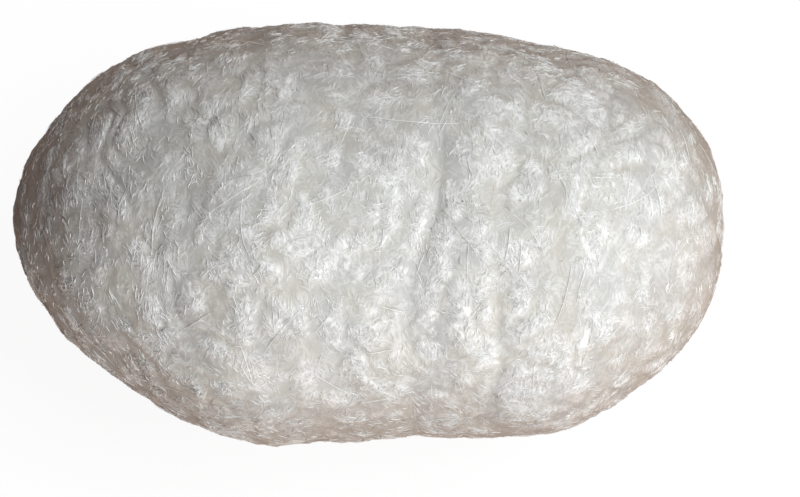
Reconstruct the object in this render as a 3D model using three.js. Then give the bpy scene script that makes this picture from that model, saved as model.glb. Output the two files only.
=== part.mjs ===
// Silk cocoon of a domestic silk moth, lying on its side: one closed, unopened body.
// Millimetres, +Z up. The long axis lies along X with the blunt end towards +X, and the
// origin is under the middle of the body, on the surface that it rests on.

import * as THREE from 'three';
import { mergeVertices } from 'three/addons/utils/BufferGeometryUtils.js';
import { ImprovedNoise } from 'three/addons/math/ImprovedNoise.js';

// driving dimensions
const LENGTH = 35;
const RADIUS = 10.35; // at the widest ring
const WIDEST_X = -4.14; // the widest ring sits nearer the pointed end
const FOOT_RISE = 0.45; // how much of the round underside the flat resting spot takes off

// roundness of the two ends: on the wall, along^taper + across^fullness = 1
const POINTED_END = { taper: 1.71, fullness: 1.95 };
const BLUNT_END = { taper: 3.52, fullness: 2.05 };

// the shallow belt round the middle, and the narrow crease that wanders round it
const WAIST = { x: 0.6, halfWidth: 3, depth: 0.2 };
const CREASE = { x: 3.1, halfWidth: 0.9, depth: 0.3, sway: 0.7, facing: -Math.PI / 6, evenness: 0.55 };
const SIDE_CREASE = { x: 6.4, halfWidth: 0.8, depth: 0.2, sway: 0.5, facing: -Math.PI / 2, evenness: 0.5 };

// the ends lean a little away from a straight axis, towards LEAN
const LEAN = new THREE.Vector3(0, Math.sin(Math.PI / 3), Math.cos(Math.PI / 3));
const POINTED_LIFT = { from: -7.5, to: -14, lift: 0.6 };
const BLUNT_LIFT = { from: 11, to: 17.5, lift: 0.5 };
const SHOULDER_SAG = { x: 8.5, halfWidth: 3, depth: 0.4 };

// dents and swells pressed into the wall as it was spun
const SWELL = { size: 5.5, height: 0.3 };
const DENT = { size: 2.6, height: 0.16 };
const NOISE_START = new THREE.Vector3(7.3, 2.1, 4.7);

// mesh steps along and across the body, and halvings when a wall point is looked for
const STEPS_ALONG = 38;
const STEPS_ACROSS = 22;
const HALVINGS = 48;

const noise = new ImprovedNoise();

function bump(distance, halfWidth) {
  return Math.exp(-((distance / halfWidth) ** 2));
}

// 0 at the centre of the widest ring and 1 on the wall: above 1 the point is outside.
function wallLevel(along, across) {
  const end = along < 0 ? POINTED_END : BLUNT_END;
  const reach = along < 0 ? LENGTH / 2 + WIDEST_X : LENGTH / 2 - WIDEST_X;
  return (Math.abs(along) / reach) ** end.taper + (across / RADIUS) ** end.fullness;
}

// The point where a ray from the widest ring's centre leaves the smooth wall.
function smoothWallPoint(direction) {
  const across = Math.hypot(direction.y, direction.z);
  let inside = 0;
  let outside = LENGTH;
  for (let step = 0; step < HALVINGS; step += 1) {
    const middle = (inside + outside) / 2;
    if (wallLevel(direction.x * middle, across * middle) < 1) {
      inside = middle;
    } else {
      outside = middle;
    }
  }
  const point = direction.clone().multiplyScalar(inside);
  point.x += WIDEST_X;
  return point;
}

// A crease is deepest on the side it faces: turn 0 is the top and a quarter turn back is -Y.
function creaseDepth(point, crease) {
  const turn = Math.atan2(point.y, point.z);
  const strength = crease.evenness + (1 - crease.evenness) * Math.cos(turn - crease.facing);
  const wander = crease.sway * (Math.sin(2 * turn + 0.6) + 0.5 * Math.sin(5 * turn));
  return crease.depth * Math.max(0, strength) * bump(point.x - crease.x - wander, crease.halfWidth);
}

function wallNoise(point, size) {
  const place = point.clone().divideScalar(size).add(NOISE_START);
  return noise.noise(place.x, place.y, place.z);
}

// How far the wall stands out from, or in from, the smooth profile.
function wallOffset(point) {
  const swell = SWELL.height * wallNoise(point, SWELL.size);
  const dent = DENT.height * wallNoise(point, DENT.size);
  const belt = WAIST.depth * bump(point.x - WAIST.x, WAIST.halfWidth);
  return swell + dent - belt - creaseDepth(point, CREASE) - creaseDepth(point, SIDE_CREASE);
}

function endLift(x, end) {
  const side = Math.sign(end.to);
  return end.lift * THREE.MathUtils.smoothstep(side * x, side * end.from, side * end.to);
}

function axisLean(x) {
  const sag = SHOULDER_SAG.depth * bump(x - SHOULDER_SAG.x, SHOULDER_SAG.halfWidth);
  return endLift(x, POINTED_LIFT) + endLift(x, BLUNT_LIFT) - sag;
}

function cocoonPoint(boxPoint) {
  const direction = boxPoint.clone().normalize();
  const point = smoothWallPoint(direction);
  point.addScaledVector(direction, wallOffset(point));
  return point.addScaledVector(LEAN, axisLean(point.x));
}

function cocoonGeometry() {
  const box = new THREE.BoxGeometry(
    LENGTH, 2 * RADIUS, 2 * RADIUS, STEPS_ALONG, STEPS_ACROSS, STEPS_ACROSS,
  );
  box.deleteAttribute('normal');
  box.deleteAttribute('uv');
  const geometry = mergeVertices(box);
  const places = geometry.attributes.position;
  const floor = FOOT_RISE - RADIUS;
  for (let index = 0; index < places.count; index += 1) {
    const point = cocoonPoint(new THREE.Vector3().fromBufferAttribute(places, index));
    places.setXYZ(index, point.x, point.y, Math.max(point.z, floor));
  }
  geometry.computeBoundingBox();
  const middle = geometry.boundingBox.getCenter(new THREE.Vector3());
  geometry.translate(-middle.x, -middle.y, -floor);
  geometry.computeVertexNormals();
  return geometry;
}

const silk = new THREE.MeshStandardMaterial({ color: 0xdcdad4, roughness: 0.8, metalness: 0 });
const cocoon = new THREE.Mesh(cocoonGeometry(), silk);
cocoon.name = 'cocoon';

const part = new THREE.Group();
part.add(cocoon);

export default part;
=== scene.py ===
"""A silk cocoon: its crinkled spun wall and the coat of loose silk on it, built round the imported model."""

import math
from itertools import product

import bpy
import numpy as np
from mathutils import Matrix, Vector
from mathutils.bvhtree import BVHTree


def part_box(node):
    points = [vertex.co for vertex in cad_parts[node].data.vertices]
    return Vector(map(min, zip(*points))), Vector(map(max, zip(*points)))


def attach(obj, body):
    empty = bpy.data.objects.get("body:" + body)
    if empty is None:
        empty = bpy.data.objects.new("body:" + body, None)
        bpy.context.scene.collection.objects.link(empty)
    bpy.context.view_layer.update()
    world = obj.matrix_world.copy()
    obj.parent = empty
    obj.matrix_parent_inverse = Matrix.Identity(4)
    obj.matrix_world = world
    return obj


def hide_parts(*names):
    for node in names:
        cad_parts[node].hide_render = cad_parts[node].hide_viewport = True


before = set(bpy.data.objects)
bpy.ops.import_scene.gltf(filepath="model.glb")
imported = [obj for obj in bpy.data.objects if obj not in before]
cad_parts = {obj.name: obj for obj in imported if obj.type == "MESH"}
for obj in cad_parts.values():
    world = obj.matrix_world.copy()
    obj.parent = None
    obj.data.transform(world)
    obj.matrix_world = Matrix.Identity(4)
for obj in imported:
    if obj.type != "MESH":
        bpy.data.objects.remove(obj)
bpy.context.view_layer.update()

MM = 0.001  # lengths and places below are in millimetres, and turns in radians
BODY = "root"
NODE = "cocoon"

# the camera's view
VIEW_UP_DEG = 75
VIEW_AIM = (1.52, -0.85, 10.2)
LENS = 150
VIEW_DISTANCE = 163.6
NEAREST_SEEN = 5

# the wall: quads along each edge of the box that it is wrapped from, and how deep its crinkles are
WALL_STEPS = (181, 106, 106)
EVENING_ROUNDS = 24
AXIS_HEIGHT = 10
SWELL_HEIGHT = 0.05
BIG_PAD_HEIGHT = 0.08
SMALL_PAD_HEIGHT = 0.04
FURROW_DEPTH = 0.10
ROUND_BODY = (1, 0.7, 0.7)  # scales a field's places, to make it longer round the body than along it

# the two furrows at the waist
WAIST_FURROW = {"x": 2.6, "half_width": 0.4, "facing": -math.pi / 6, "wander": 0.6}
SIDE_FURROW = {"x": 5.6, "half_width": 0.3, "facing": -math.pi / 2, "wander": 2.3}
SIDE_FURROW_SHARE = 0.6  # its depth beside the waist's
FURROW_SWAY = 0.7
FURROW_EVENNESS = 0.55

# fine threads in the wall: patch size, thread width, how far patches turn from the way round
# the body, and a shift that keeps the layers apart
COMBED_LAYERS = (
    (1.0, 0.075, 1.6, (0, 0, 0)),
    (0.8, 0.07, 2.0, (7.7, 3.1, 5.3)),
    (0.6, 0.06, 2.4, (2.9, 8.3, 4.1)),
)

# how the loose silk is spread over the wall, and which way it lies
BARE_SHARE = 0.05  # the silk in the deepest furrows
FURROW_BARENESS = 0.8
SMALL_PAD_SHARE = 0.65
BLUNT_END_X = 11.5  # beyond this the coat is thinner
WORN_OFF = 0.55  # the share that is missing there
PAD_CHANCE = 0.7  # the more, the less strictly strands keep to the pads
BIG_SWIRL = 1.5
SMALL_SWIRL = 0.9
STRAY_TURN = 0.45

# locks, and the strands of one lock
LOCKS_PER_PIECE = (840, 840, 840, 200)
STRANDS_PER_LOCK = 13
SPARE_LOCKS = 1.4  # strands tried for each one that is kept
LOCK_STEPS = 5
LOCK_HEIGHT = 0.036
LOCK_SINK = 0.006  # how far the tips of a lock's strands go into the wall
LOCK_BEND = 1.1
LOCK_LENGTH = (0.25, 0.8)
LOCK_WIDTH = (0.3, 1.0)
LOCK_FAN = 0.5
STRAND_STAGGER = 0.35  # of the lock's length
STRAND_TURN = 0.14
STRAND_LENGTH = (0.6, 1.25)  # of the lock's length
STRAND_BEND = 0.4

GLINTS = 9000
THREADS = 450
HAIRS = 30
DIRT_GRAINS = 70
FLOOR_GAP = 0.004  # no strand comes nearer to the floor
# how far strands are shaded as round, and not as part of the wall below them
LOCK_ROUNDNESS = 0.5
THREAD_ROUNDNESS = 0.3

# colours, as linear red, green and blue
# the furrow tones are greyer than the pad colour, partly the silk's own tone and partly painted shade in the
# creases
GREY_SHADED_FURROW = (0.50, 0.50, 0.48)
BEIGE_SHADED_FURROW = (0.52, 0.505, 0.455)
PAD_COLOUR = (0.865, 0.875, 0.865)
# the lock tones drift in small patches; the white one is partly painted glint, bright bits where silk would
# catch the light
DULL_LOCK = (0.73, 0.73, 0.71)
WHITE_LOCK_GLINT = (0.93, 0.945, 0.935)
WARM_GLINT = (0.98, 0.97, 0.92)
COOL_GLINT = (0.95, 0.975, 0.98)
# the hair tones are painted shade: silk fibres coloured dark where real ones look dark for being unlit or
# seen against the bright wall
DARK_SHADED_HAIR = (0.28, 0.275, 0.26)
GREY_SHADED_HAIR = (0.55, 0.55, 0.53)
DARK_DIRT = (0.08, 0.06, 0.04)
OLIVE_DIRT = (0.30, 0.24, 0.15)
PAINTED_EDGE_SHADE = (0.56, 0.48, 0.43)  # painted shade: what the colour is multiplied by where silk is seen edge on, darker and warmer towards the outline
PAINTED_SHADE_FROM = 0.25
STAIN_COLOUR = (0.68, 0.50, 0.33)
STAIN_CENTRE = (0.8, -9.3, -2.4)  # from the middle of the axis
STAIN_HALF_SIZE = (2.0, 0.8, 0.8)

# the floor, the lights and the room round them
FLOOR_HALF = 1500
FLOOR_PAINT = (0.10, 0.10, 0.10)
FLOOR_GLOW = 0.92
FLOOR_BOUNCE = (0.58, 0.43, 0.36)
LIGHT_DISTANCE = 300
LIGHT_SIZE = 260
COOL_LIGHT = (0.965, 0.99, 1.0)
PALE_LIGHT = (0.97, 0.985, 1.0)
ROOM_LIGHT = (1.0, 0.74, 0.70)
ROOM_STRENGTH = 0.07
BACKDROP = (0.9, 0.9, 0.9)

# what random fields and draws start from
COAT_SEED = 11
SLOPE_SEED = 4
SLOPES = np.random.default_rng(SLOPE_SEED).normal(size=(4096, 3))
CELL_PRIMES = (73856093, 19349663, 83492791)
FIELD_STEP = 31.7  # from one seed's field to the next one's


# ---- random fields in space ----

def noise(points, size, seed):
    """Smooth random waves about size apart, mostly between -1 and 1."""
    place = points / size + FIELD_STEP * (seed + 1)
    cell = np.floor(place).astype(np.int64)
    part = place - cell
    ease = part**3 * (part * (part * 6 - 15) + 10)
    total = np.zeros(len(points))
    for corner in product((0, 1), repeat=3):
        mixed = np.bitwise_xor.reduce((cell + corner) * CELL_PRIMES, axis=1)
        weight = np.prod(np.where(corner, ease, 1 - ease), axis=1)
        total += weight * np.einsum("ij,ij->i", SLOPES[mixed % len(SLOPES)], part - corner)
    return total


def puffs(points, size, seed):
    """Rounded pads with narrow furrows between them: 0 in the furrows and 1 on the pads."""
    steepness = 2.4
    softness = 0.1
    wave = steepness * noise(points, size, seed)
    return np.tanh(np.sqrt(wave**2 + softness**2) - softness)


def warped(points, size, reach, seed):
    """The points, each pushed up to about reach by slow random waves."""
    push = np.stack([noise(points, size, seed + axis) for axis in range(3)], axis=1)
    return points + reach * push


# ---- the wall ----

def box_grid(steps):
    """Corners and quads of a closed box from -1 to 1, with its faces pointing out."""
    inside = np.zeros([n + 1 for n in steps], bool)
    inside[1:-1, 1:-1, 1:-1] = True
    number = np.full(inside.shape, -1)
    number[~inside] = np.arange((~inside).sum())
    corners = np.argwhere(~inside) / np.array(steps) * 2 - 1
    quads = []
    for axis, end in product(range(3), (0, -1)):
        side = np.take(number, end, axis=axis)
        quad = np.stack((side[:-1, :-1], side[1:, :-1], side[1:, 1:], side[:-1, 1:]), axis=-1)
        faces_out = (end == -1) != (axis == 1)
        quads.append(quad.reshape(-1, 4)[:, :: 1 if faces_out else -1])
    return corners, np.concatenate(quads)


def even_out(points, quads, rounds):
    """The points after each has moved half way to the middle of its neighbours, rounds times."""
    sides = np.concatenate([quads[:, [k, (k + 1) % 4]] for k in range(4)])
    count = np.bincount(sides[:, 0], minlength=len(points))[:, None]
    for _ in range(rounds):
        total = [np.bincount(sides[:, 0], points[sides[:, 1], axis], len(points)) for axis in range(3)]
        points = 0.5 * points + 0.5 * np.stack(total, axis=1) / count
    return points


def smooth_wall():
    """The frame's cocoon as a fine, evenly curved mesh."""
    low, high = (np.array(corner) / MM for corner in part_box(NODE))
    middle = (low + high) / 2
    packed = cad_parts[NODE].data
    places = [vertex.co / MM for vertex in packed.vertices]
    tree = BVHTree.FromPolygons(places, [polygon.vertices for polygon in packed.polygons])
    corners, quads = box_grid(WALL_STEPS)
    points = np.empty_like(corners)
    for index, aim in enumerate(corners * (high - low)):
        points[index] = tree.ray_cast(Vector(middle), Vector(aim))[0]
    return even_out(points, quads, EVENING_ROUNDS), quads


def face_vectors(points, quads):
    """One vector along each quad's normal, twice as long as the quad's area."""
    diagonal = points[quads[:, 2]] - points[quads[:, 0]]
    other_diagonal = points[quads[:, 3]] - points[quads[:, 1]]
    return np.cross(diagonal, other_diagonal)


def outward(points, quads):
    """Unit normals at the points of a closed quad mesh."""
    face = face_vectors(points, quads)
    total = np.zeros_like(points)
    for corner, axis in product(range(4), range(3)):
        total[:, axis] += np.bincount(quads[:, corner], face[:, axis], len(points))
    return total / np.linalg.norm(total, axis=1, keepdims=True)


def big_pads(points):
    """Pads that are longer round the body than along it."""
    return puffs(warped(points, size=3.0, reach=0.9, seed=10) * ROUND_BODY, size=1.5, seed=30)


def small_pads(points):
    return puffs(warped(points, size=1.5, reach=0.4, seed=50), size=0.8, seed=40)


def furrow(points, x, half_width, facing, wander):
    """1 along a crease that wanders round the body, fading away on the side it doesn't face."""
    turn = np.arctan2(points[:, 1], points[:, 2] - AXIS_HEIGHT)
    line = x + FURROW_SWAY * (np.sin(2 * turn + wander) + 0.5 * np.sin(5 * turn + 3 * wander))
    strength = FURROW_EVENNESS + (1 - FURROW_EVENNESS) * np.cos(turn - facing)
    return np.clip(strength, 0, 1) * np.exp(-(((points[:, 0] - line) / half_width) ** 2))


def furrows(points):
    return np.maximum(furrow(points, **WAIST_FURROW), SIDE_FURROW_SHARE * furrow(points, **SIDE_FURROW))


def crinkle(points):
    """How far the wall stands out at each point: swells, and pads with furrows between them."""
    swell = SWELL_HEIGHT * noise(points * ROUND_BODY, size=2.4, seed=20)
    big = BIG_PAD_HEIGHT * (big_pads(points) - 0.5)
    small = SMALL_PAD_HEIGHT * (small_pads(points) - 0.5)
    return swell + (big + small) - FURROW_DEPTH * furrows(points)


def crest(points):
    """0 in the furrows and 1 on the pads, where most of the loose silk lies."""
    pads = big_pads(points) * (1 - SMALL_PAD_SHARE + SMALL_PAD_SHARE * small_pads(points))
    return pads * (1 - FURROW_BARENESS * furrows(points))


def make_mesh(name, points, faces, material):
    mesh = bpy.data.meshes.new(name)
    mesh.from_pydata((points * MM).tolist(), [], [face.tolist() for face in faces])
    mesh.materials.append(material)
    mesh.polygons.foreach_set("use_smooth", np.ones(len(mesh.polygons), bool))
    piece = bpy.data.objects.new(name, mesh)
    bpy.context.scene.collection.objects.link(piece)
    return piece


# ---- strands ----

def unit(vectors):
    return vectors / np.maximum(1e-9, np.linalg.norm(vectors, axis=-1, keepdims=True))


def strand_faces(count, rings):
    """Quads and triangles of count three-sided strands, each a tip, its rings and a tip."""
    size = 2 + 3 * rings
    quads, tips = [], []
    for ring, side in product(range(rings - 1), range(3)):
        here = 1 + 3 * ring + side
        beside = 1 + 3 * ring + (side + 1) % 3
        quads.append((here, here + 3, beside + 3, beside))
    last = 1 + 3 * (rings - 1)
    for side in range(3):
        tips.append((0, 1 + side, 1 + (side + 1) % 3))
        tips.append((size - 1, last + (side + 1) % 3, last + side))
    start = size * np.arange(count)[:, None, None]
    return (start + np.array(quads)).reshape(-1, 4), (start + np.array(tips)).reshape(-1, 3)


def strand_points(paths, ups, radius, twist, roundness):
    """Points and normals of three-sided strands along paths (strand, step, xyz), with pointed tips."""
    along = unit(np.gradient(paths, axis=1))
    side = unit(np.cross(along, ups))
    up = np.cross(side, along)
    reach = np.linspace(-1, 1, paths.shape[1])[1:-1]
    thick = radius[:, None] * (1 - 0.5 * reach**4)[None, :]
    around, normals = [], []
    for corner in (90, 210, 330):
        turn = (twist + math.radians(corner))[:, None, None]
        offset = np.cos(turn) * side[:, 1:-1] + np.sin(turn) * up[:, 1:-1]
        around.append(paths[:, 1:-1] + thick[..., None] * offset)
        normals.append(unit(roundness * offset + (1 - roundness) * ups[:, 1:-1]))
    around = np.stack(around, axis=2).reshape(len(paths), -1, 3)
    normals = np.stack(normals, axis=2).reshape(len(paths), -1, 3)
    points = np.concatenate((paths[:, :1], around, paths[:, -1:]), axis=1)
    normals = np.concatenate((ups[:, :1], normals, ups[:, -1:]), axis=1)
    return points.reshape(-1, 3), normals.reshape(-1, 3)


class Surface:
    """The finished wall, for laying silk on."""

    def __init__(self, points, quads):
        self.points = points
        self.quads = quads
        self.normals = outward(points, quads)
        self.tree = BVHTree.FromPolygons(points.tolist(), quads.tolist())
        area = np.linalg.norm(face_vectors(points, quads), axis=1) / 2
        middles = points[quads].mean(axis=1)
        worn = 1 - WORN_OFF / (1 + np.exp(BLUNT_END_X - middles[:, 0]))
        self.silkiness = area * worn * (BARE_SHARE + crest(middles))

    def scatter(self, count, rng):
        """Random wall points, most of them on the pads, and the normals there."""
        chosen = rng.choice(len(self.quads), count, p=self.silkiness / self.silkiness.sum())
        mix = rng.dirichlet(np.ones(4), count)
        corners = self.quads[chosen]
        spots = np.einsum("ij,ijk->ik", mix, self.points[corners])
        return spots, unit(np.einsum("ij,ijk->ik", mix, self.normals[corners]))

    def drop(self, spots):
        """The nearest wall points and the smooth normals there."""
        flat = spots.reshape(-1, 3)
        places = np.empty_like(flat)
        quads = np.empty(len(flat), int)
        for index, spot in enumerate(flat.tolist()):
            places[index], _, quads[index], _ = self.tree.find_nearest(spot)
        normals = unit(self.normals[self.quads[quads]].mean(axis=1))
        return places.reshape(spots.shape), normals.reshape(spots.shape)


def lie(spots, normals, rng):
    """The way the silk lies: round the body, with swirls."""
    round_body = unit(np.cross(normals, (1.0, 0.0, 0.0)))
    along_body = np.cross(round_body, normals)
    swirl = BIG_SWIRL * noise(spots, size=1.7, seed=61) + SMALL_SWIRL * noise(spots, size=0.8, seed=62)
    turn = swirl + rng.normal(0, STRAY_TURN, len(spots))
    return np.cos(turn)[:, None] * round_body + np.sin(turn)[:, None] * along_body


def best_on_pads(paths, count, rng):
    """The numbers of the count paths that keep out of the furrows best, give or take."""
    lowest = crest(paths.reshape(-1, 3)).reshape(paths.shape[:2]).min(axis=1)
    return np.argsort(lowest + rng.uniform(0, PAD_CHANCE, len(paths)))[-count:]


def arcs(spots, normals, heading, length, bend, steps):
    """Curved paths through spots, in the plane that touches the wall there."""
    side = np.cross(normals, heading)
    reach = np.linspace(-0.5, 0.5, steps)
    turn = bend[:, None] * reach
    stride = length[:, None, None] / (steps - 1)
    ahead = np.cos(turn)[..., None] * heading[:, None] + np.sin(turn)[..., None] * side[:, None]
    paths = np.cumsum(stride * ahead, axis=1)
    return spots[:, None] + paths - paths.mean(axis=1, keepdims=True)


def arched(surface, paths, height, sink=0.0):
    """The paths laid over the wall: their tips are sink below it and their middles lift off it."""
    places, ups = surface.drop(paths)
    arch = 1 - np.linspace(-1, 1, paths.shape[1]) ** 4
    lift = height[:, None] * arch - sink
    return places + lift[..., None] * ups, ups


def new_locks(surface, count, rng):
    """For each lock: its place, the wall's normal, its heading, bend, length, width and fan."""
    spots, normals = surface.scatter(count, rng)
    heading = lie(spots, normals, rng)
    bend = rng.normal(0, LOCK_BEND, count)
    length = rng.uniform(*LOCK_LENGTH, count)
    width = rng.uniform(*LOCK_WIDTH, count)
    fan = rng.normal(0, LOCK_FAN, count)
    return spots, normals, heading, bend, length, width, fan


def lock_strands(surface, locks, rng):
    """Combed locks: each is many short strands side by side that curve together."""
    tried = new_locks(surface, int(locks * SPARE_LOCKS), rng)
    per_strand = [np.repeat(values, STRANDS_PER_LOCK, axis=0) for values in tried]
    spots, normals, heading, bend, length, width, fan = per_strand
    count = len(spots)
    side = np.cross(normals, heading)
    rank = rng.uniform(-1, 1, count)
    spots = spots + (0.5 * rank * width)[:, None] * side
    spots = spots + (STRAND_STAGGER * rng.normal(0, 1, count) * length)[:, None] * heading
    turn = fan * rank + rng.normal(0, STRAND_TURN, count)
    heading = np.cos(turn)[:, None] * heading + np.sin(turn)[:, None] * side
    length = length * rng.uniform(*STRAND_LENGTH, count)
    bend = bend + rng.normal(0, STRAND_BEND, count)
    paths = arcs(spots, normals, heading, length, bend, LOCK_STEPS)
    paths = paths[best_on_pads(paths, int(count / SPARE_LOCKS), rng)]
    return arched(surface, paths, rng.uniform(LOCK_SINK, LOCK_HEIGHT, len(paths)), LOCK_SINK)


def single_threads(surface, length, lift, bend, steps, rng):
    """Single threads that lie over the wall each on its own."""
    spots, normals = surface.scatter(len(length), rng)
    heading = lie(spots, normals, rng)
    bends = rng.normal(0, bend, len(length))
    return arched(surface, arcs(spots, normals, heading, length, bends, steps), lift)


def make_strands(name, paths, ups, radius, twist, roundness, material):
    """A piece made of strands, and the normals that go with their roundness."""
    quads, tips = strand_faces(len(paths), paths.shape[1] - 2)
    points, normals = strand_points(paths, ups, radius, twist, roundness)
    points[:, 2] = np.maximum(points[:, 2], FLOOR_GAP)
    return make_mesh(name, points, [*quads, *tips], material), normals


def smooth_strands(name, paths, ups, radius, roundness, material):
    """Strands that are shaded partly as round and partly as the wall below them."""
    untwisted = np.zeros(len(paths))
    piece, normals = make_strands(name, paths, ups, radius, untwisted, roundness, material)
    piece.data.normals_split_custom_set_from_vertices(normals.tolist())
    return piece


def faceted_strands(name, paths, ups, radius, twist, material):
    """Strands with the flat sides of real silk, each turned its own way."""
    piece, _ = make_strands(name, paths, ups, radius, twist, 1, material)
    piece.data.polygons.foreach_set("use_smooth", np.zeros(len(piece.data.polygons), bool))
    return piece


# ---- materials ----

def node(tree, kind, inputs, **settings):
    """A new node whose inputs are values or other nodes' sockets."""
    made = tree.nodes.new("ShaderNode" + kind)
    for name, value in settings.items():
        setattr(made, name, value)
    for name, value in inputs.items():
        if isinstance(value, bpy.types.NodeSocket):
            tree.links.new(value, made.inputs[name])
        else:
            made.inputs[name].default_value = value
    return made


def arithmetic(tree, operation, *values):
    return node(tree, "Math", dict(enumerate(values)), operation=operation).outputs[0]


def vector(tree, operation, *values):
    return node(tree, "VectorMath", dict(enumerate(values)), operation=operation).outputs[0]


def scaled(tree, way, amount):
    return node(tree, "VectorMath", {0: way, "Scale": amount}, operation="SCALE").outputs[0]


def smooth_step(tree, value, low, high, start=0.0, end=1.0):
    """The start value up to low, the end value from high on, and a smooth change between them."""
    limits = {"From Min": low, "From Max": high, "To Min": start, "To Max": end}
    return node(tree, "MapRange", {"Value": value, **limits}, interpolation_type="SMOOTHSTEP").outputs[0]


def mix_colours(tree, share, colour, other_colour, blend_type="MIX"):
    inputs = {"Factor": share, "A": colour, "B": other_colour}
    return node(tree, "Mix", inputs, data_type="RGBA", blend_type=blend_type).outputs["Result"]


def shader_group(name, inputs, outputs):
    """An empty group, and the sockets that its nodes take from and give to."""
    group = bpy.data.node_groups.new(name, "ShaderNodeTree")
    for title, kind in inputs.items():
        group.interface.new_socket(title, in_out="INPUT", socket_type="NodeSocket" + kind)
    for title, kind in outputs.items():
        group.interface.new_socket(title, in_out="OUTPUT", socket_type="NodeSocket" + kind)
    start = group.nodes.new("NodeGroupInput")
    end = group.nodes.new("NodeGroupOutput")
    return group, start.outputs, end.inputs


def placed(tree, name, inputs):
    """A group, placed in one material with that material's own values."""
    return node(tree, "Group", inputs, node_tree=bpy.data.node_groups[name])


def build_combed_silk():
    """Patches of fine parallel threads; each patch lies its own way, mostly round the body."""
    inputs = {"Patch Size": "Float", "Thread Width": "Float", "Turn": "Float", "Shift": "Vector"}
    tree, given, made = shader_group("combed_silk", {"Position": "Vector", **inputs}, {"Threads": "Float"})
    half = (0.5, 0.5, 0.5)
    sway = (0.6, 0.6, 0.6)
    along_body = (1.0, 0.0, 0.0)
    stretch = 0.92  # the share of the change along a thread that is taken away
    wave = node(tree, "TexNoise", {"Vector": given["Position"], "Scale": 0.9, "Detail": 1.0})
    push = vector(tree, "SUBTRACT", wave.outputs["Color"], half)
    bent = vector(tree, "MULTIPLY_ADD", push, sway, given["Position"])
    moved = vector(tree, "ADD", bent, given["Shift"])
    density = arithmetic(tree, "DIVIDE", 1.0, given["Patch Size"])
    patch = node(tree, "TexVoronoi", {"Vector": moved, "Scale": density})
    centre = vector(tree, "SUBTRACT", patch.outputs["Position"], given["Shift"])
    round_body = vector(tree, "NORMALIZE", vector(tree, "CROSS_PRODUCT", along_body, centre))
    lot = vector(tree, "SUBTRACT", patch.outputs["Color"], half)
    turned = vector(tree, "ADD", round_body, scaled(tree, lot, given["Turn"]))
    way = vector(tree, "NORMALIZE", turned)
    along = node(tree, "VectorMath", {0: bent, 1: way}, operation="DOT_PRODUCT").outputs["Value"]
    back = scaled(tree, way, arithmetic(tree, "MULTIPLY", along, -stretch))
    squeezed = vector(tree, "ADD", bent, back)
    fineness = arithmetic(tree, "DIVIDE", 0.5, given["Thread Width"])
    look = {"Scale": fineness, "Detail": 1.0, "Roughness": 0.6}
    threads = node(tree, "TexNoise", {"Vector": squeezed, **look})
    crisp = smooth_step(tree, threads.outputs["Fac"], 0.44, 0.66)
    fade = smooth_step(tree, patch.outputs["Distance"], 0.35, 0.75, start=1.0, end=0.0)
    tree.links.new(arithmetic(tree, "MULTIPLY", crisp, fade), made["Threads"])


def build_tone_drift():
    """A colour that drifts between two tones from patch to patch."""
    inputs = {"Position": "Vector", "Patch Size": "Float", "Tone": "Color", "Other Tone": "Color"}
    tree, given, made = shader_group("tone_drift", inputs, {"Color": "Color"})
    density = arithmetic(tree, "DIVIDE", 1.0, given["Patch Size"])
    drift = node(tree, "TexNoise", {"Vector": given["Position"], "Scale": density, "Detail": 2.0})
    share = smooth_step(tree, drift.outputs["Fac"], 0.35, 0.65)
    tree.links.new(mix_colours(tree, share, given["Tone"], given["Other Tone"]), made["Color"])


def build_painted_edge_shade():
    """Painted shade: silk seen at a slant is made darker and warmer, for the fall of light towards the
    outline: Slant is 0 face on and 1 edge on.
    """
    inputs = {"Color": "Color", "Slant": "Float"}
    tree, given, made = shader_group("painted_edge_shade", inputs, {"Color": "Color"})
    share = node(tree, "MapRange", {"Value": given["Slant"], "From Min": PAINTED_SHADE_FROM, "From Max": 1.0})
    shaded = mix_colours(tree, 1.0, given["Color"], (*PAINTED_EDGE_SHADE, 1), "MULTIPLY")
    tree.links.new(mix_colours(tree, share.outputs[0], given["Color"], shaded), made["Color"])


def paint_edge_shade(tree, colour):
    """The colour after the shared painted edge shade."""
    slant = node(tree, "LayerWeight", {"Blend": 0.5})
    return placed(tree, "painted_edge_shade", {"Color": colour, "Slant": slant.outputs["Facing"]}).outputs["Color"]


def drifting_tone(tree, position, patch_size, tone, other_tone):
    """The shared drift between two tones, for one material."""
    inputs = {"Patch Size": patch_size, "Tone": (*tone, 1), "Other Tone": (*other_tone, 1)}
    return placed(tree, "tone_drift", {"Position": position, **inputs}).outputs["Color"]


def new_material(name, roughness):
    """A material, its tree and shader, and the place in millimetres from the body's axis."""
    material = bpy.data.materials.new(name)
    material.use_nodes = True
    tree = material.node_tree
    shader = tree.nodes["Principled BSDF"]
    shader.inputs["Roughness"].default_value = roughness
    place = node(tree, "TexCoord", {})
    per_metre = (1 / MM, 1 / MM, 1 / MM)
    position = vector(tree, "MULTIPLY_ADD", place.outputs["Object"], per_metre, (0, 0, -AXIS_HEIGHT))
    return material, tree, shader, position


def foot_stain(tree, position, colour):
    """The colour with a small tea-brown stain low on the side, its edge broken up."""
    raggedness = (1.2, 1.2, 1.2)
    drift = node(tree, "TexNoise", {"Vector": position, "Scale": 1.2, "Detail": 2.0})
    pushed = vector(tree, "MULTIPLY_ADD", drift.outputs["Color"], raggedness, position)
    off = vector(tree, "SUBTRACT", pushed, STAIN_CENTRE)
    shape = vector(tree, "DIVIDE", off, STAIN_HALF_SIZE)
    reach = node(tree, "VectorMath", {0: shape}, operation="LENGTH").outputs["Value"]
    share = smooth_step(tree, reach, 0.4, 1.3, start=1.0, end=0.0)
    return mix_colours(tree, share, colour, (*STAIN_COLOUR, 1))


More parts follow.
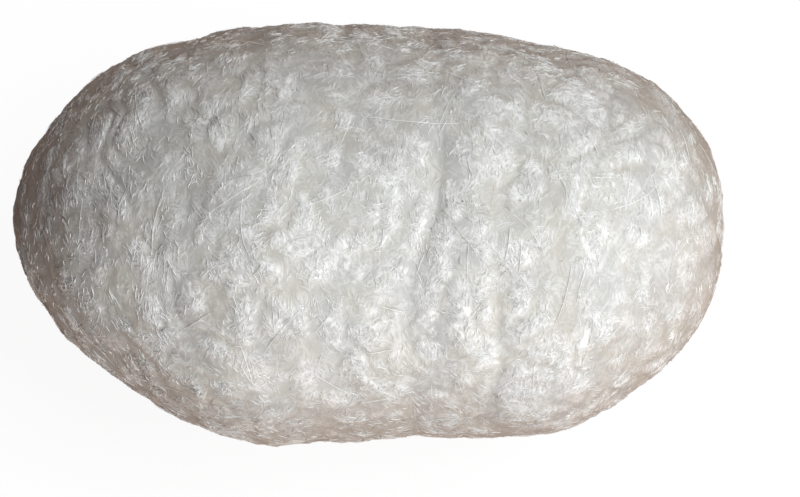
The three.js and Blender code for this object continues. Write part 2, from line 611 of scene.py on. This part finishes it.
def combed_threads(tree, position):
    """The layers of fine threads, laid over each other."""
    layers = []
    for patch_size, width, turn, shift in COMBED_LAYERS:
        inputs = {"Patch Size": patch_size, "Thread Width": width, "Turn": turn, "Shift": shift}
        layer = placed(tree, "combed_silk", {"Position": position, **inputs})
        layers.append(layer.outputs["Threads"])
    upper = arithmetic(tree, "MAXIMUM", layers[0], layers[1])
    return arithmetic(tree, "MAXIMUM", upper, layers[2])


def silk_wall_material():
    """White pads and greyer furrows, the grey partly the silk's own tone and partly painted shade in the
    creases, with fine threads that are weaker in the furrows.
    """
    material, tree, shader, position = new_material("silk_wall", roughness=0.6)
    pads = node(tree, "Attribute", {}, attribute_name="crest").outputs["Fac"]
    strength = node(tree, "MapRange", {"Value": pads, "From Max": 0.6, "To Min": 0.4, "To Max": 1.0})
    relief = arithmetic(tree, "MULTIPLY", combed_threads(tree, position), strength.outputs[0])
    # whiter on the pads and greyer in the furrows: partly the silk's own tone, partly painted shade in the
    # creases
    half_pads = arithmetic(tree, "MULTIPLY", pads, 0.5)
    whiteness = arithmetic(tree, "MULTIPLY_ADD", relief, 0.75, half_pads)
    shaded_furrow_tone = drifting_tone(tree, position, 2.5, GREY_SHADED_FURROW, BEIGE_SHADED_FURROW)
    colour = mix_colours(tree, whiteness, shaded_furrow_tone, (*PAD_COLOUR, 1))
    stained = foot_stain(tree, position, colour)
    tree.links.new(paint_edge_shade(tree, stained), shader.inputs["Base Color"])
    bump = node(tree, "Bump", {"Height": relief, "Strength": 0.5, "Distance": 0.03 * MM})
    tree.links.new(bump.outputs[0], shader.inputs["Normal"])
    shader.inputs["Subsurface Weight"].default_value = 0.4
    shader.inputs["Subsurface Radius"].default_value = (1, 0.95, 0.85)
    shader.inputs["Subsurface Scale"].default_value = 0.15 * MM
    return material


def silk_strand_material(name, tone, other_tone, patch_size, roughness):
    material, tree, shader, position = new_material(name, roughness)
    colour = drifting_tone(tree, position, patch_size, tone, other_tone)
    tree.links.new(paint_edge_shade(tree, colour), shader.inputs["Base Color"])
    shader.inputs["Specular IOR Level"].default_value = 0.4
    return material


def lock_silk_material():
    # the small white patches along the locks are partly painted glint
    return silk_strand_material("lock_silk", DULL_LOCK, WHITE_LOCK_GLINT, patch_size=0.3, roughness=0.4)


def glint_silk_material():
    return silk_strand_material("glint_silk", WARM_GLINT, COOL_GLINT, patch_size=1.7, roughness=0.2)


def shaded_hair_material():
    # painted shade: silk fibres coloured dark grey
    material, tree, shader, position = new_material("shaded_hair", roughness=0.5)
    tone = drifting_tone(tree, position, 1.2, DARK_SHADED_HAIR, GREY_SHADED_HAIR)
    tree.links.new(tone, shader.inputs["Base Color"])
    return material


def dirt_material():
    material, tree, shader, position = new_material("dirt", roughness=0.8)
    tone = drifting_tone(tree, position, 2.0, DARK_DIRT, OLIVE_DIRT)
    tree.links.new(tone, shader.inputs["Base Color"])
    return material


# ---- pieces ----

def make_wall():
    """The wall's piece, which stands for the frame's cocoon, and its surface."""
    points, quads = smooth_wall()
    points = points + crinkle(points)[:, None] * outward(points, quads)
    points[:, 2] = np.maximum(points[:, 2], 0)
    wall = make_mesh("cocoon_wall", points, quads, silk_wall_material())
    # the wall's material reads crest to make the furrows greyer, partly as painted shade in the creases
    wall.data.attributes.new("crest", "FLOAT", "POINT").data.foreach_set("value", crest(points))
    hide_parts(NODE)
    return wall, Surface(points, quads)


def make_locks(surface, number, locks, material, rng):
    paths, ups = lock_strands(surface, locks, rng)
    radius = 0.010 + 0.017 * rng.random(len(paths)) ** 2
    return smooth_strands(f"silk_locks_{number}", paths, ups, radius, LOCK_ROUNDNESS, material)


def make_glints(surface, material, rng):
    """Short flat-sided threads that catch the light."""
    length = rng.uniform(0.15, 0.5, GLINTS)
    lift = rng.uniform(0.01, 0.05, GLINTS)
    paths, ups = single_threads(surface, length, lift, bend=1.0, steps=4, rng=rng)
    radius = rng.uniform(0.009, 0.016, GLINTS)
    twist = rng.uniform(0, 2, GLINTS)
    return faceted_strands("silk_glints", paths, ups, radius, twist, material)


def make_threads(surface, material, rng):
    """Longer single threads, a few of them much longer than the rest."""
    length = 0.6 + rng.exponential(0.9, THREADS)
    lift = rng.uniform(0.02, 0.07, THREADS)
    paths, ups = single_threads(surface, length, lift, bend=0.35, steps=11, rng=rng)
    radius = rng.uniform(0.013, 0.020, THREADS)
    return smooth_strands("silk_threads", paths, ups, radius, THREAD_ROUNDNESS, material)


def make_hairs(surface, material, rng):
    """Thin silk fibres coloured grey as painted shade, for fibres that look dark when unlit or seen against
    the bright wall.
    """
    length = rng.uniform(1.5, 5, HAIRS)
    lift = rng.uniform(0.01, 0.04, HAIRS)
    paths, ups = single_threads(surface, length, lift, bend=0.7, steps=13, rng=rng)
    radius = rng.uniform(0.004, 0.007, HAIRS)
    return smooth_strands("stray_hairs", paths, ups, radius, 0, material)


def make_dirt(surface, material, rng):
    """Specks of dirt, caught in the silk."""
    length = rng.uniform(0.03, 0.09, DIRT_GRAINS)
    lift = rng.uniform(0.03, 0.07, DIRT_GRAINS)
    paths, ups = single_threads(surface, length, lift, bend=0, steps=4, rng=rng)
    radius = rng.uniform(0.012, 0.03, DIRT_GRAINS)
    twist = rng.uniform(0, 2, DIRT_GRAINS)
    return faceted_strands("dirt_grains", paths, ups, radius, twist, material)


def make_cocoon():
    """The wall and everything on it; the order decides which random draws each piece gets."""
    wall, surface = make_wall()
    lock_silk = lock_silk_material()
    glint_silk = glint_silk_material()
    rng = np.random.default_rng(COAT_SEED)
    pieces = [wall]
    for number, locks in enumerate(LOCKS_PER_PIECE, 1):
        pieces.append(make_locks(surface, number, locks, lock_silk, rng))
    pieces.append(make_glints(surface, glint_silk, rng))
    pieces.append(make_threads(surface, glint_silk, rng))
    pieces.append(make_hairs(surface, shaded_hair_material(), rng))
    pieces.append(make_dirt(surface, dirt_material(), rng))
    return pieces


# ---- stage ----

def floor_material():
    """Bright as the camera sees it; for the cocoon, a warm surface that gives light back."""
    material = bpy.data.materials.new("pale_floor")
    material.use_nodes = True
    tree = material.node_tree
    tree.nodes.clear()
    paint = node(tree, "BsdfDiffuse", {"Color": (*FLOOR_PAINT, 1)})
    glow = node(tree, "Emission", {"Color": (1, 1, 1, 1), "Strength": FLOOR_GLOW})
    seen = node(tree, "AddShader", {0: paint.outputs[0], 1: glow.outputs[0]})
    bounce = node(tree, "BsdfDiffuse", {"Color": (*FLOOR_BOUNCE, 1)})
    to_camera = node(tree, "LightPath", {}).outputs["Is Camera Ray"]
    mix = node(tree, "MixShader", {0: to_camera, 1: bounce.outputs[0], 2: seen.outputs[0]})
    node(tree, "OutputMaterial", {"Surface": mix.outputs[0]})
    return material


def make_floor():
    half = FLOOR_HALF * MM
    corners = [(-half, -half, 0), (half, -half, 0), (half, half, 0), (-half, half, 0)]
    mesh = bpy.data.meshes.new("floor")
    mesh.from_pydata(corners, [], [(0, 1, 2, 3)])
    mesh.materials.append(floor_material())
    floor = bpy.data.objects.new("floor", mesh)
    bpy.context.scene.collection.objects.link(floor)


def softbox(name, direction, power, colour):
    """A round soft light that faces the middle of the body."""
    light = bpy.data.lights.new(name, "AREA")
    light.shape = "DISK"
    light.size = LIGHT_SIZE * MM
    light.energy = power
    light.color = colour
    lamp = bpy.data.objects.new(name, light)
    bpy.context.scene.collection.objects.link(lamp)
    aim = Vector(direction).normalized()
    lamp.location = (Vector((0, 0, AXIS_HEIGHT)) + LIGHT_DISTANCE * aim) * MM
    lamp.rotation_euler = aim.to_track_quat("Z", "Y").to_euler()


def make_room():
    """A weak warm light from all round, with a plain pale backdrop for the camera."""
    world = bpy.data.worlds.new("room")
    world.use_nodes = True
    tree = world.node_tree
    glow = tree.nodes["Background"]
    glow.inputs["Color"].default_value = (*ROOM_LIGHT, 1)
    glow.inputs["Strength"].default_value = ROOM_STRENGTH
    pale = node(tree, "Background", {"Color": (*BACKDROP, 1)})
    to_camera = node(tree, "LightPath", {}).outputs["Is Camera Ray"]
    mix = node(tree, "MixShader", {0: to_camera, 1: glow.outputs[0], 2: pale.outputs[0]})
    tree.links.new(mix.outputs[0], tree.nodes["World Output"].inputs["Surface"])
    bpy.context.scene.world = world


def light_stage():
    softbox("key", (0.58, 0.03, 0.81), 0.86, COOL_LIGHT)
    softbox("top", (0.12, 0.42, 0.90), 0.12, COOL_LIGHT)
    softbox("fill", (0.27, -0.95, 0.15), 0.86, PALE_LIGHT)
    make_room()
    bpy.context.scene.view_settings.view_transform = "Standard"


def make_camera():
    camera = bpy.data.cameras.new("view")
    camera.lens = LENS
    camera.clip_start = NEAREST_SEEN * MM
    view = bpy.data.objects.new("view", camera)
    bpy.context.scene.collection.objects.link(view)
    up = math.radians(VIEW_UP_DEG)
    towards = Vector((0, -math.cos(up), math.sin(up)))
    view.location = (Vector(VIEW_AIM) + VIEW_DISTANCE * towards) * MM
    view.rotation_euler = towards.to_track_quat("Z", "Y").to_euler()
    bpy.context.scene.camera = view


# ---- put together ----

make_camera()
make_floor()
light_stage()

build_combed_silk()
build_tone_drift()
build_painted_edge_shade()

for piece in make_cocoon():
    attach(piece, BODY)
